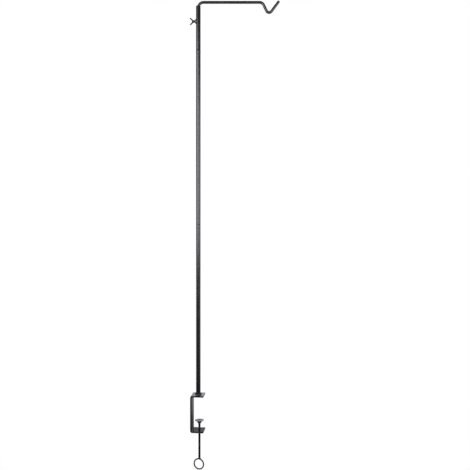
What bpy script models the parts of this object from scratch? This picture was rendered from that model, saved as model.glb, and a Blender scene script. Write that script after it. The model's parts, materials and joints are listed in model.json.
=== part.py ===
"""Table hook: a steel clamp that grips a table's edge and carries a pole, with a hook arm at its top.

The arm is the bent end of a round rod. The rod slides in the pole and turns in it, and a wing
screw holds it. The clamp's screw is turned by a ring and lifts a pressure pad under the table.

Metres, +Z up. The origin is on the pole's axis, at the underside of the clamp's top jaw, which
is the face that rests on the table. The clamp opens towards +X.
"""

import math

import bmesh
import bpy
from mathutils import Matrix

# Clearances and mesh fineness
GAP = 0.0003
OVERRUN = 0.002
MERGE_DISTANCE = 0.000001
FINE_STEPS = 48
PLAIN_STEPS = 32
CORNER_STEPS = 6
SHARP_ANGLE = math.radians(35)

# Clamp frame, bent from one flat strip
STRIP_WIDTH = 0.040
STRIP_THICKNESS = 0.004
STRIP_EDGE = 0.0005
JAW_OPENING = 0.090
JAW_PAST_PAD = 0.00125
PAD_TO_BACK = 0.00625
FOLD_INSIDE_RADIUS = 0.0015

# Pole
TUBE_DIAMETER = 0.012
TUBE_WALL = 0.0008
TUBE_LENGTH = 1.0345
BASE_BEAD_WIDTH = 0.0034
BASE_BEAD_HEIGHT = 0.0042
BASE_BEAD_HOLLOW_SHARE = 0.10
BASE_BEAD_RIPPLE = 0.0004
BASE_BEAD_RIPPLES = 11

# Nut on the pole and its wing screw
NUT_BELOW_RIM = 0.0405
NUT_WALL = 0.00125
NUT_THICKNESS = 0.0032
NUT_BEAD_PAST_CORNERS = 0.0031
NUT_BEAD_PAST_FLATS = 0.0012
NUT_BEAD_WRAP = 0.0025
NUT_BEAD_RISE_SHARE = 0.72
NUT_BEAD_TAPER_SHARE = 0.72
WING_THREAD_DIAMETER = 0.0049
WING_HUB_LIP = 0.00105
WING_HUB_LENGTH = 0.0062
WING_HUB_ROUND = 0.0008
WING_NECK_LENGTH = 0.0014
WING_TIP_CHAMFER = 0.0006
EAR_ANGLE = math.radians(44)
EAR_LENGTH = 0.0117
EAR_TIP_RADIUS = 0.0017
EAR_ROOT_RADIUS = 0.0016
EAR_THICKNESS = 0.0024
EAR_EDGE = 0.0006

# Rod with the arm and the crook
ROD_DIAMETER = 0.0073
ROD_CLEARANCE = 0.0008
ROD_END_ABOVE_FOOT = 0.4345
ROD_END_CHAMFER = 0.0005
ARM_SWIVEL = math.radians(5)
ARM_STRAIGHT = 0.1497
ARM_BEND_RADIUS = 0.013
FALL_RADIUS = 0.012
FALL_ANGLE = math.radians(64.5)
FALL_LENGTH = 0.0172
VALLEY_RADIUS = 0.008
RISE_ANGLE = math.radians(53.5)
RISE_LENGTH = 0.0333
BEND_STEP = math.radians(7.5)

# Bush on the rod's lower end
BUSH_LENGTH = 0.012
BUSH_EDGE = 0.0005
ROD_NECK_STEP = 0.00135
ROD_RIVET_LIP = 0.001
ROD_RIVET_HEIGHT = 0.002

# Clamp screw
SCREW_OFFSET = 0.003
SCREW_DIAMETER = 0.0059
SCREW_REACH = 0.1021
SCREW_NECK_STEP = 0.00085
SCREW_RIVET_LIP = 0.0011
SCREW_RIVET_HEIGHT = 0.0010
SCREW_RIVET_DOME = 0.0003

# Pressure pad
PAD_ABOVE_JAW = 0.0164
PAD_DIAMETER = 0.0235
PAD_RIM_THICKNESS = 0.0012
PAD_HEIGHT = 0.0093
PAD_FOOT_WALL = 0.0013
PAD_RECESS_CLEARANCE = 0.0006
RIVET_BELOW_FACE = 0.0005
PAD_EDGE = 0.0003
PAD_HOLLOW_SHARE = 0.10

# Ring handle and its weld
RING_DIAMETER = 0.0305
RING_WIRE = 0.0035
RING_TURN = math.radians(-15)
RING_SHIFT = 0.0017
RING_BEAD_WALL = 0.00045
RING_BEAD_SWELL = 0.0007
RING_BEAD_ABOVE = 0.0016
RING_BEAD_BELOW = 0.0018

# Finishes: colour, roughness, metallic
BLACK_PAINT = ((0.012, 0.012, 0.013, 1.0), 0.38, 0.0)
BLACK_PLATING = ((0.015, 0.015, 0.016, 1.0), 0.34, 0.6)
WHITE_NYLON = ((0.62, 0.60, 0.55, 1.0), 0.50, 0.0)

# Places worked out from the sizes above
TUBE_RADIUS = TUBE_DIAMETER / 2
BORE_RADIUS = TUBE_RADIUS - TUBE_WALL
TUBE_FOOT_Z = STRIP_THICKNESS + GAP
RIM_Z = TUBE_FOOT_Z + TUBE_LENGTH
NUT_Z = RIM_Z - NUT_BELOW_RIM
NUT_FACE = TUBE_RADIUS + GAP + NUT_THICKNESS
WING_THREAD_RADIUS = WING_THREAD_DIAMETER / 2
NUT_FLAT_RADIUS = WING_THREAD_RADIUS + GAP + NUT_WALL
ROD_RADIUS = ROD_DIAMETER / 2
ROD_OFFSET = BORE_RADIUS - ROD_RADIUS - ROD_CLEARANCE
ROD_IN_TUBE = TUBE_LENGTH - ROD_END_ABOVE_FOOT
ROD_NECK_RADIUS = ROD_RADIUS - ROD_NECK_STEP
SCREW_RADIUS = SCREW_DIAMETER / 2
SCREW_NECK_RADIUS = SCREW_RADIUS - SCREW_NECK_STEP
SCREW_RIVET_RADIUS = SCREW_NECK_RADIUS + SCREW_RIVET_LIP
PAD_RADIUS = PAD_DIAMETER / 2
PAD_FACE_Z = PAD_ABOVE_JAW + PAD_HEIGHT - JAW_OPENING
PAD_RECESS_DEPTH = GAP + SCREW_RIVET_HEIGHT + RIVET_BELOW_FACE
RING_WIRE_RADIUS = RING_WIRE / 2
RING_LINE_RADIUS = RING_DIAMETER / 2 - RING_WIRE_RADIUS


def clear_scene():
    """Remove whatever objects the scene starts with."""
    for item in list(bpy.data.objects):
        bpy.data.objects.remove(item, do_unlink=True)


def finish(name, look):
    """A plain Principled material in the given colour, roughness and metallic value."""
    colour, roughness, metallic = look
    material = bpy.data.materials.get(name) or bpy.data.materials.new(name)
    material.use_nodes = True
    shader = material.node_tree.nodes["Principled BSDF"]
    shader.inputs["Base Color"].default_value = colour
    shader.inputs["Roughness"].default_value = roughness
    shader.inputs["Metallic"].default_value = metallic
    return material


def add_object(name, data, look=None, location=(0, 0, 0), rotation=(0, 0, 0)):
    """Link a mesh or curve as an object, in place, with its own material."""
    item = bpy.data.objects.new(name, data)
    item.location = location
    item.rotation_euler = rotation
    bpy.context.scene.collection.objects.link(item)
    if look:
        data.materials.append(finish(name + "_finish", look))
    return item


def mesh_from(name, shape, smooth=True):
    """Turn an edited shape into mesh data, with outward faces and crisp edges."""
    bmesh.ops.recalc_face_normals(shape, faces=shape.faces)
    data = bpy.data.meshes.new(name)
    shape.to_mesh(data)
    shape.free()
    if smooth:
        data.shade_smooth()
        data.set_sharp_from_angle(angle=SHARP_ANGLE)
    return data


def arc(centre, radius, start, end, steps):
    """Points on an arc about a centre in a plane, both ends included."""
    return [
        (
            centre[0] + radius * math.cos(start + (end - start) * i / steps),
            centre[1] + radius * math.sin(start + (end - start) * i / steps),
        )
        for i in range(steps + 1)
    ]


def hollow_line(first, last, sag_share, steps):
    """Points between two points on a parabola that bulges to the left of the way they run."""
    across, up = last[0] - first[0], last[1] - first[1]
    points = []
    for i in range(steps + 1):
        along = i / steps
        sag_here_share = 4 * sag_share * along * (1 - along)
        x = first[0] + across * along - up * sag_here_share
        y = first[1] + up * along + across * sag_here_share
        points.append((x, y))
    return points


def turned(name, outline, is_ring=False, steps=FINE_STEPS):
    """Mesh data turned about Z from (radius, height) points; a ring's outline is a closed loop."""
    shape = bmesh.new()
    points = [shape.verts.new((radius, 0, height)) for radius, height in outline]
    following = points[1:] + (points[:1] if is_ring else [])
    edges = [shape.edges.new(pair) for pair in zip(points, following)]
    bmesh.ops.spin(
        shape,
        geom=points + edges,
        cent=(0, 0, 0),
        axis=(0, 0, 1),
        angle=math.tau,
        steps=steps,
        use_merge=True,
    )
    bmesh.ops.remove_doubles(shape, verts=shape.verts, dist=MERGE_DISTANCE)
    return mesh_from(name, shape)


def extruded(name, outline, depth, smooth=False):
    """Mesh data from an outline in the XZ plane, given depth evenly to both sides along Y."""
    shape = bmesh.new()
    points = [shape.verts.new((x, -depth / 2, z)) for x, z in outline]
    face = shape.faces.new(points)
    grown = bmesh.ops.extrude_face_region(shape, geom=[face])
    moved = [item for item in grown["geom"] if isinstance(item, bmesh.types.BMVert)]
    bmesh.ops.translate(shape, verts=moved, vec=(0, depth, 0))
    return mesh_from(name, shape, smooth)


def bent_bar(name, points, radii, bar_radius, steps):
    """A round bar along a line of points, as a bevelled curve with its ends closed."""
    data = bpy.data.curves.new(name, "CURVE")
    data.dimensions = "3D"
    data.bevel_depth = bar_radius
    data.bevel_resolution = steps // 2 - 2
    data.use_fill_caps = True
    line = data.splines.new("POLY")
    line.points.add(len(points) - 1)
    line.use_smooth = True
    for spot, (x, z), radius in zip(line.points, points, radii):
        spot.co = (x, 0, z, 1)
        spot.radius = radius / bar_radius
    return data


def bevelled(item, width, segments=2):
    """Round an object's sharp edges."""
    bevel = item.modifiers.new("rounded_edges", "BEVEL")
    bevel.width = width
    bevel.segments = segments
    bevel.limit_method = "ANGLE"
    bevel.angle_limit = SHARP_ANGLE


def combined(item, other, operation):
    """Cut a helper solid from an object, or join it on, and keep the helper as a wire guide."""
    change = item.modifiers.new(other.name, "BOOLEAN")
    change.operation = operation
    change.solver = "EXACT"
    change.object = other
    other.hide_render = True
    other.display_type = "WIRE"


def rod_mesh(name, radius, bottom, top, steps=PLAIN_STEPS):
    """A plain round solid along Z, used for bores and as a helper."""
    return turned(name, [(0, bottom), (radius, bottom), (radius, top), (0, top)], steps=steps)


def make_clamp_frame():
    """The C: top jaw, back and lower jaw in one strip, deep enough to clear the pad."""
    inner = SCREW_OFFSET - PAD_RADIUS - PAD_TO_BACK
    front = SCREW_OFFSET + PAD_RADIUS + JAW_PAST_PAD
    top, seat = STRIP_THICKNESS, 0
    floor, bottom = -JAW_OPENING, -JAW_OPENING - STRIP_THICKNESS
    tight = FOLD_INSIDE_RADIUS
    wide = tight + STRIP_THICKNESS
    quarter = math.pi / 2
    outline = [(front, top)]
    outline += arc((inner + tight, seat - tight), wide, quarter, 2 * quarter, CORNER_STEPS)
    outline += arc((inner + tight, floor + tight), wide, 2 * quarter, 3 * quarter, CORNER_STEPS)
    outline += [(front, bottom), (front, floor)]
    outline += arc((inner + tight, floor + tight), tight, 3 * quarter, 2 * quarter, CORNER_STEPS)
    outline += arc((inner + tight, seat - tight), tight, 2 * quarter, quarter, CORNER_STEPS)
    outline += [(front, seat)]
    data = extruded("clamp_frame", outline, STRIP_WIDTH, smooth=True)
    frame = add_object("clamp_frame", data, BLACK_PAINT)
    bevelled(frame, STRIP_EDGE)
    bore = rod_mesh("screw_bore", SCREW_RADIUS + GAP, bottom - OVERRUN, floor + OVERRUN)
    combined(frame, add_object("screw_bore", bore, location=(SCREW_OFFSET, 0, 0)), "DIFFERENCE")


def make_base_weld():
    """A rippled bead that fills the corner between the tube and the top jaw."""
    inner = TUBE_RADIUS + GAP
    toe = (inner + BASE_BEAD_WIDTH, TUBE_FOOT_Z)
    crest = (inner, TUBE_FOOT_Z + BASE_BEAD_HEIGHT)
    face = hollow_line(toe, crest, BASE_BEAD_HOLLOW_SHARE, CORNER_STEPS)
    data = turned("base_weld", [(inner, TUBE_FOOT_Z)] + face, is_ring=True)
    for spot in data.vertices:
        reach = math.hypot(spot.co.x, spot.co.y)
        angle = math.atan2(spot.co.y, spot.co.x)
        lift_share = (reach - inner) / BASE_BEAD_WIDTH
        swell = BASE_BEAD_RIPPLE * lift_share * math.sin(BASE_BEAD_RIPPLES * angle)
        spot.co.x += swell * math.cos(angle)
        spot.co.y += swell * math.sin(angle)
    data.update()
    add_object("base_weld", data, BLACK_PAINT)


def make_pole():
    """The tube, open at both ends, with a hole for the wing screw."""
    outline = [
        (BORE_RADIUS, TUBE_FOOT_Z),
        (TUBE_RADIUS, TUBE_FOOT_Z),
        (TUBE_RADIUS, RIM_Z),
        (BORE_RADIUS, RIM_Z),
    ]
    tube = add_object("pole_tube", turned("pole_tube", outline, is_ring=True), BLACK_PAINT)
    hole = rod_mesh("wing_screw_hole", WING_THREAD_RADIUS + GAP, 0, TUBE_DIAMETER)
    combined(tube, on_wing_axis("wing_screw_hole", hole), "DIFFERENCE")


def on_wing_axis(name, data, look=None):
    """Place a solid whose +Z points out of the tube along the wing screw's axis."""
    return add_object(name, data, look, location=(0, 0, NUT_Z), rotation=(0, -math.pi / 2, 0))


def hexagon(name, flat_radius, bottom, top):
    """A six-sided bar along Z with its corners up and down once it lies on the screw's axis."""
    shape = bmesh.new()
    bmesh.ops.create_cone(
        shape,
        cap_ends=True,
        segments=6,
        radius1=corner_radius(flat_radius),
        radius2=corner_radius(flat_radius),
        depth=top - bottom,
        matrix=Matrix.Translation((0, 0, (bottom + top) / 2)) @ Matrix.Rotation(math.pi / 6, 4, "Z"),
    )
    return mesh_from(name, shape, smooth=False)


def corner_radius(flat_radius):
    """How far a hexagon's corners lie from its centre, when its flats lie at flat_radius."""
    return flat_radius / math.cos(math.pi / 6)


def make_tube_nut():
    """The hexagon nut, flat against the tube."""
    data = hexagon("tube_nut", NUT_FLAT_RADIUS, TUBE_RADIUS + GAP, NUT_FACE)
    nut = on_wing_axis("tube_nut", data, BLACK_PAINT)
    bore = rod_mesh("nut_bore", WING_THREAD_RADIUS + GAP, 0, NUT_FACE + OVERRUN)
    combined(nut, on_wing_axis("nut_bore", bore), "DIFFERENCE")


def make_nut_weld():
    """The bead round the nut: a flattened cone that follows the tube and the nut."""
    foot = TUBE_RADIUS + GAP
    low = foot - NUT_BEAD_WRAP
    high = foot + NUT_THICKNESS * NUT_BEAD_RISE_SHARE
    half_length = corner_radius(NUT_FLAT_RADIUS) + NUT_BEAD_PAST_CORNERS
    half_width = NUT_FLAT_RADIUS + NUT_BEAD_PAST_FLATS
    shape = bmesh.new()
    bmesh.ops.create_cone(
        shape,
        cap_ends=True,
        segments=PLAIN_STEPS,
        radius1=half_length,
        radius2=half_length * NUT_BEAD_TAPER_SHARE,
        depth=high - low,
        matrix=Matrix.Translation((0, 0, (low + high) / 2)),
    )
    narrow = Matrix.Diagonal((1, half_width / half_length, 1, 1))
    bmesh.ops.transform(shape, matrix=narrow, verts=shape.verts)
    bead = on_wing_axis("nut_weld", mesh_from("nut_weld", shape), BLACK_PAINT)
    room = hexagon("nut_room", NUT_FLAT_RADIUS + GAP, 0, NUT_FACE + OVERRUN)
    combined(bead, on_wing_axis("nut_room", room), "DIFFERENCE")
    reach = half_length + OVERRUN
    pipe = rod_mesh("tube_room", foot, NUT_Z - reach, NUT_Z + reach)
    combined(bead, add_object("tube_room", pipe), "DIFFERENCE")


def ear_outline(root_x, side):
    """A tapered finger with round ends, leaning out to one side of the screw's axis."""
    lean = math.pi / 2 - side * EAR_ANGLE
    quarter = math.pi / 2
    tip = (EAR_LENGTH * math.cos(lean), root_x + EAR_LENGTH * math.sin(lean))
    tip_arc = arc(tip, EAR_TIP_RADIUS, lean - quarter, lean + quarter, CORNER_STEPS)
    root_arc = arc((0, root_x), EAR_ROOT_RADIUS, lean + quarter, lean + 3 * quarter, CORNER_STEPS)
    return tip_arc + root_arc


def make_wing_screw():
    """Shank, hub and two ears; +Z points outwards, and the tip stops short of the rod."""
    shank = WING_THREAD_RADIUS
    hub = shank + WING_HUB_LIP
    tip = ROD_RADIUS - ROD_OFFSET + GAP
    hub_low = NUT_FACE + WING_NECK_LENGTH
    hub_top = hub_low + WING_HUB_LENGTH
    outline = [
        (0, tip),
        (shank - WING_TIP_CHAMFER, tip),
        (shank, tip + WING_TIP_CHAMFER),
        (shank, hub_low),
        (hub - WING_HUB_ROUND, hub_low),
        (hub, hub_low + WING_HUB_ROUND),
    ]
    corner = (hub - WING_HUB_ROUND, hub_top - WING_HUB_ROUND)
    outline += arc(corner, WING_HUB_ROUND, 0, math.pi / 2, CORNER_STEPS)
    outline += [(0, hub_top)]
    screw = on_wing_axis("wing_screw", turned("wing_screw", outline, steps=PLAIN_STEPS), BLACK_PLATING)
    root = hub_low + EAR_ROOT_RADIUS
    for side, name in ((1, "upper_ear"), (-1, "lower_ear")):
        ear = on_wing_axis(name, extruded(name, ear_outline(root, side), EAR_THICKNESS, smooth=True))
        bevelled(ear, EAR_EDGE)
        combined(screw, ear, "UNION")


def arm_height():
    """The arm's height over the rim: the bend's inner side rests on the edge of the bore."""
    reach = ARM_BEND_RADIUS - ROD_RADIUS - GAP
    across = ARM_BEND_RADIUS + ROD_OFFSET - BORE_RADIUS
    return ARM_BEND_RADIUS - math.sqrt(reach**2 - across**2)


def rod_line():
    """The rod's centre line and its radius along it, from the riveted foot up to the crook's tip."""
    foot = -ROD_IN_TUBE
    neck_low = foot + ROD_RIVET_HEIGHT
    shoulder = neck_low + BUSH_LENGTH + 2 * GAP
    cut = ROD_END_CHAMFER
    neck, rivet = ROD_NECK_RADIUS, ROD_NECK_RADIUS + ROD_RIVET_LIP
    points = [(0, foot), (0, foot + cut), (0, neck_low - cut), (0, neck_low)]
    radii = [rivet - cut, rivet, rivet, neck]
    points += [(0, shoulder), (0, shoulder + cut)]
    radii += [neck, ROD_RADIUS]
    turns = (
        (ARM_BEND_RADIUS, math.pi / 2, -1, ARM_STRAIGHT),
        (FALL_RADIUS, FALL_ANGLE, -1, FALL_LENGTH),
        (VALLEY_RADIUS, FALL_ANGLE + RISE_ANGLE, 1, RISE_LENGTH),
    )
    x, z, heading = 0, arm_height() - ARM_BEND_RADIUS, math.pi / 2
    points.append((x, z))
    for radius, angle, hand, straight in turns:
        centre = (x - hand * radius * math.sin(heading), z + hand * radius * math.cos(heading))
        steps = max(round(angle / BEND_STEP), 1)
        start = heading - hand * math.pi / 2
        points += arc(centre, radius, start, start + hand * angle, steps)[1:]
        x, z = points[-1]
        heading += hand * angle
        x, z = x + straight * math.cos(heading), z + straight * math.sin(heading)
        points.append((x, z))
    points[-1] = (x - cut * math.cos(heading), z - cut * math.sin(heading))
    points.append((x, z))
    radii += [ROD_RADIUS] * (len(points) - len(radii) - 1) + [ROD_RADIUS - cut]
    return points, radii


def make_hook_rod():
    """The rod, with its origin on its own axis at the tube's rim."""
    points, radii = rod_line()
    data = bent_bar("hook_rod", points, radii, ROD_RADIUS, PLAIN_STEPS // 2)
    rod = add_object("hook_rod", data, BLACK_PAINT, location=(ROD_OFFSET, 0, RIM_Z))
    rod.rotation_euler.z = ARM_SWIVEL


def make_rod_end_bush():
    """A sleeve on the rod's neck, between its rivet and its shoulder, that slides in the tube."""
    low = RIM_Z - ROD_IN_TUBE + ROD_RIVET_HEIGHT + GAP
    high = low + BUSH_LENGTH
    bore = ROD_NECK_RADIUS + GAP
    wide = BORE_RADIUS - ROD_OFFSET - GAP
    outline = [
        (bore, low),
        (wide - BUSH_EDGE, low),
        (wide, low + BUSH_EDGE),
        (wide, high - BUSH_EDGE),
        (wide - BUSH_EDGE, high),
        (bore, high),
    ]
    data = turned("rod_end_bush", outline, is_ring=True, steps=PLAIN_STEPS)
    add_object("rod_end_bush", data, WHITE_NYLON, location=(ROD_OFFSET, 0, 0))


def make_pressure_pad():
    """The flared pad, bored for the screw's neck and recessed for its riveted end."""
    bore = SCREW_NECK_RADIUS + GAP
    recess = SCREW_RIVET_RADIUS + PAD_RECESS_CLEARANCE
    foot = (bore + PAD_FOOT_WALL, -PAD_HEIGHT)
    lip = (PAD_RADIUS, -PAD_RIM_THICKNESS)
    outline = [(bore, -PAD_HEIGHT)]
    outline += hollow_line(foot, lip, PAD_HOLLOW_SHARE, CORNER_STEPS)
    outline += [(PAD_RADIUS, -PAD_EDGE), (PAD_RADIUS - PAD_EDGE, 0), (recess, 0)]
    outline += [(recess, -PAD_RECESS_DEPTH), (bore, -PAD_RECESS_DEPTH)]
    data = turned("pressure_pad", outline, is_ring=True)
    add_object("pressure_pad", data, BLACK_PLATING, location=(SCREW_OFFSET, 0, PAD_FACE_Z))


def make_clamp_screw():
    """The shank with a thinner neck through the pad and a riveted head in its recess."""
    thread, neck, rivet = SCREW_RADIUS, SCREW_NECK_RADIUS, SCREW_RIVET_RADIUS
    shoulder = -PAD_HEIGHT - GAP
    seat = -PAD_RECESS_DEPTH + GAP
    crown = seat + SCREW_RIVET_HEIGHT
    outline = [(0, -SCREW_REACH), (thread, -SCREW_REACH), (thread, shoulder)]
    outline += [(neck, shoulder), (neck, seat), (rivet, seat)]
    outline += [(rivet, crown - SCREW_RIVET_DOME), (rivet - SCREW_RIVET_DOME, crown), (0, crown)]
    data = turned("clamp_screw", outline, steps=PLAIN_STEPS)
    add_object("clamp_screw", data, BLACK_PLATING, location=(SCREW_OFFSET, 0, PAD_FACE_Z))


def ring_solid(name, wire_radius):
    """A round-wire ring, turned about its own axis."""
    outline = arc((RING_LINE_RADIUS, 0), wire_radius, 0, math.tau, PLAIN_STEPS // 2)[:-1]
    return turned(name, outline, is_ring=True)


def on_ring_axis(item, shift=0, height=0, tilt=0):
    """Hang a solid on the screw's axis, turned with the ring."""
    axis = bpy.data.objects.get("screw_axis")
    if axis is None:
        axis = add_object("screw_axis", None, location=(SCREW_OFFSET, 0, PAD_FACE_Z))
        axis.rotation_euler = (0, 0, RING_TURN)
    item.parent = axis
    item.location = (shift, 0, height)
    item.rotation_euler = (tilt, 0, 0)
    return item


def stand_ring(item):
    """Stand a ring upright under the screw, a little to one side of its axis."""
    drop = math.sqrt(RING_LINE_RADIUS**2 - RING_SHIFT**2)
    height = -SCREW_REACH - GAP - RING_WIRE_RADIUS - drop
    return on_ring_axis(item, -RING_SHIFT, height, math.pi / 2)


def make_ring_handle():
    """The wire ring that turns the screw."""
    ring = ring_solid("ring_handle", RING_WIRE_RADIUS)
    stand_ring(add_object("ring_handle", ring, BLACK_PLATING))


def make_ring_weld():
    """A small bead that wraps the screw's end and lies over the ring's top."""
    top = -SCREW_REACH + RING_BEAD_ABOVE
    low = -SCREW_REACH - GAP - RING_BEAD_BELOW
    collar = SCREW_RADIUS + GAP + RING_BEAD_WALL
    wide = collar + RING_BEAD_SWELL
    outline = [(0, low), (wide, low), (wide, -SCREW_REACH), (collar, top), (0, top)]
    data = turned("ring_weld", outline, steps=PLAIN_STEPS)
    bead = on_ring_axis(add_object("ring_weld", data, BLACK_PLATING))
    shank = rod_mesh("shank_room", SCREW_RADIUS + GAP, -SCREW_REACH - GAP, 0)
    combined(bead, on_ring_axis(add_object("shank_room", shank)), "DIFFERENCE")
    wire = ring_solid("wire_room", RING_WIRE_RADIUS + GAP)
    combined(bead, stand_ring(add_object("wire_room", wire)), "DIFFERENCE")


def main():
    clear_scene()
    make_clamp_frame()
    make_base_weld()
    make_pole()
    make_tube_nut()
    make_nut_weld()
    make_wing_screw()
    make_hook_rod()
    make_rod_end_bush()
    make_pressure_pad()
    make_clamp_screw()
    make_ring_handle()
    make_ring_weld()


main()
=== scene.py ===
"""Table hook: the looks of a clamp-on pole with a sliding, swivelling hook arm.

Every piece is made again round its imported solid, finer and in its real finish: bent and powder
coated steel, black plated screws with real threads, weld beads and a nylon bush. The piece rides
on that solid's body. Metres, +Z up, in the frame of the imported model.
"""
import json
import math

import bmesh
import bpy
from bpy.props import FloatProperty, FloatVectorProperty, IntProperty, PointerProperty
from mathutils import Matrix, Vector, noise


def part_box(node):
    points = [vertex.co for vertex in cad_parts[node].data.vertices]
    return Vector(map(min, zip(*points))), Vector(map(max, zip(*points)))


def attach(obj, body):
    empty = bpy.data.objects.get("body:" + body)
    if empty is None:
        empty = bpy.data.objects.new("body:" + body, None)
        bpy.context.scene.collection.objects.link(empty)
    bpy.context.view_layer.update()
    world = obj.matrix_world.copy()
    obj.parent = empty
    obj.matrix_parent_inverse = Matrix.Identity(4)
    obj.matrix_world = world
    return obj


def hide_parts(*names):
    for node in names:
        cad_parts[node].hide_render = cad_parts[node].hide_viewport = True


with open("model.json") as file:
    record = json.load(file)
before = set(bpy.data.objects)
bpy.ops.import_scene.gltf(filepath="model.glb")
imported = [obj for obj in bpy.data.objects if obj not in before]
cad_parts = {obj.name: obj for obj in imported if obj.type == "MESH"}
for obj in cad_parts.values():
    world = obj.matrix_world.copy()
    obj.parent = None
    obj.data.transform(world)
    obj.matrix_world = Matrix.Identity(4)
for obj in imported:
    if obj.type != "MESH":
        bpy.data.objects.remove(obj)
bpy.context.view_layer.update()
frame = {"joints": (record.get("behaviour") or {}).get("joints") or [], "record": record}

bl_info = {
    "name": "Table hook",
    "version": (1, 0, 0),
    "blender": (4, 5, 0),
    "location": "3D View > Sidebar > Table hook",
    "description": "Makes a clamp-on table hook piece by piece in its real finishes, and a studio",
    "category": "Object",
}

# What the frame says of each solid and joint
BODY_OF = {
    node: body
    for body, nodes in frame["record"]["behaviour"]["bodies"].items()
    for node in nodes
}
JOINT = {joint["name"]: joint for joint in frame["joints"]}
SCREW_X = JOINT["screw_spin"]["pos_m"][0]
ROD_X = JOINT["arm_swivel"]["pos_m"][0]
WING_Z = JOINT["wing_screw_turn"]["pos_m"][2]
TUBE_LOW, TUBE_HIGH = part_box("pole_tube")
TUBE_RADIUS = TUBE_HIGH.x

# A quarter turn, and what one side of a hexagon spans
QUARTER = math.pi / 2
HEX_SIDES = 6
HEX_ANGLE = math.tau / HEX_SIDES

# Fineness of the meshes: points closer than MERGE are one, and steps round or along each form
MERGE = 0.000001
ROUND_STEPS = 96
TAP_STEPS = 64
SMALL_STEPS = 48
BAR_STEPS = 40
WIRE_STEPS = 24
FOLD_STEPS = 14
CORNER_STEPS = 6
EDGE_STEPS = 4
FLOOR_STEPS = 128
DISC_STEPS = 64
CARD_STEPS = 24
BEND_STEP = math.radians(2.5)

# Angles from which an edge is rounded, or shows as a crease
EDGE_ANGLE = math.radians(35)
CREASE = math.radians(28)
NUT_CREASE = math.radians(24)
CAST_CREASE = math.radians(40)
BEAD_CREASE = math.radians(60)

# How far a cutter runs past what it cuts, and the play between two pieces
OVERRUN = 0.002
GAP = 0.0003

# A thread's depth and the step at its end, in pitches, and its outline over one pitch as
# (share of the pitch, share of the depth), at the root and at the crest
THREAD_DEPTH = 0.61
END_DEPTH = 0.7
ROOT_SHARES = ((0.02, 0.92), (0.08, 1), (0.20, 1), (0.26, 0.92))
CREST_SHARES = ((0.53, 0.06), (0.57, 0), (0.67, 0), (0.71, 0.06))

# How far the rod's foot steps in for the bush, and where most values of a noise lie
NECK_STEP = 0.00135
NOISE_LOW, NOISE_HIGH = 0.3, 0.7


def linear_colour(text):
    """An sRGB colour, written as six hex digits, in the linear values that shaders take."""
    values = [int(text[i : i + 2], 16) / 255 for i in (0, 2, 4)]
    return tuple(v / 12.92 if v <= 0.04045 else ((v + 0.055) / 1.055) ** 2.4 for v in values)


def length(name, description, default):
    """A size in metres that a user may change."""
    return FloatProperty(
        name=name, description=description, default=default, min=0, precision=5, unit="LENGTH"
    )


def angle(name, description, default):
    """An angle that a user may change, given in degrees."""
    return FloatProperty(
        name=name, description=description, default=math.radians(default), unit="ROTATION"
    )


def colour(name, description, default):
    """A colour that a user may change, given as sRGB hex."""
    return FloatVectorProperty(
        name=name,
        description=description,
        default=linear_colour(default),
        size=3,
        min=0,
        max=1,
        subtype="COLOR",
    )


def share(name, description, default):
    """A number from 0 to 1 that a user may change."""
    return FloatProperty(name=name, description=description, default=default, min=0, max=1)


class ClampSizes(bpy.types.PropertyGroup):
    """Sizes of the bent strip and of the bead at the pole's foot."""

    strip: length("Strip", "Thickness of the flat strip", 0.004)
    fold: length("Fold radius", "Inside radius of the two folds", 0.0015)
    edge: length("Edge radius", "Rounding of the strip's edges", 0.0005)
    bore: length("Bore radius", "Radius of the threaded hole in the lower jaw", 0.00322)
    countersink: length("Countersink", "Chamfer at both ends of that hole", 0.0005)
    bead_width: length("Bead width", "How far the foot's bead reaches out from the pole", 0.0038)
    bead_height: length("Bead height", "How far the foot's bead climbs the pole", 0.0041)
    bead_ripple: length("Ripple", "Depth of the ripples in the foot's bead", 0.00011)
    bead_ripples: IntProperty(
        name="Ripples", description="Ripples round the foot's bead", default=30, min=3
    )


class PoleSizes(bpy.types.PropertyGroup):
    """Sizes of the tube, its nut and the bead round the nut."""

    wall: length("Tube wall", "Wall thickness of the tube", 0.0008)
    rim: length("Rim radius", "Rounding of the tube's cut ends", 0.0002)
    hole: length("Hole radius", "Radius of the hole behind the nut", 0.00275)
    low_line: length("Lower line", "Height of the fine line half way up the tube", 0.4565)
    high_line: length("Upper line", "Height of the lower of two fine lines near the top", 0.9118)
    line_gap: length("Line gap", "Distance between those two lines", 0.0107)
    line_width: length("Line width", "Width of a fine line round the tube", 0.0012)
    line_depth: length("Line depth", "Depth of a fine line", 0.0005)
    crown: length("Crown", "How far the tube swells between the two lines", 0.0002)
    nut_flat: length("Nut flat", "Distance of the nut's flats from its axis", 0.004)
    nut_height: length("Nut height", "Height of the nut, from the tube outwards", 0.0032)
    bead_reach: length("Bead reach", "How far the nut's bead runs up and down the tube", 0.0065)
    bead_wrap: length("Bead wrap", "How far the nut's bead reaches round the tube", 0.0050)
    bead_rise: length("Bead rise", "How far the nut's bead climbs the nut", 0.0021)
    bead_swell: length("Bead swell", "How far the nut's bead bulges", 0.0004)


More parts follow.
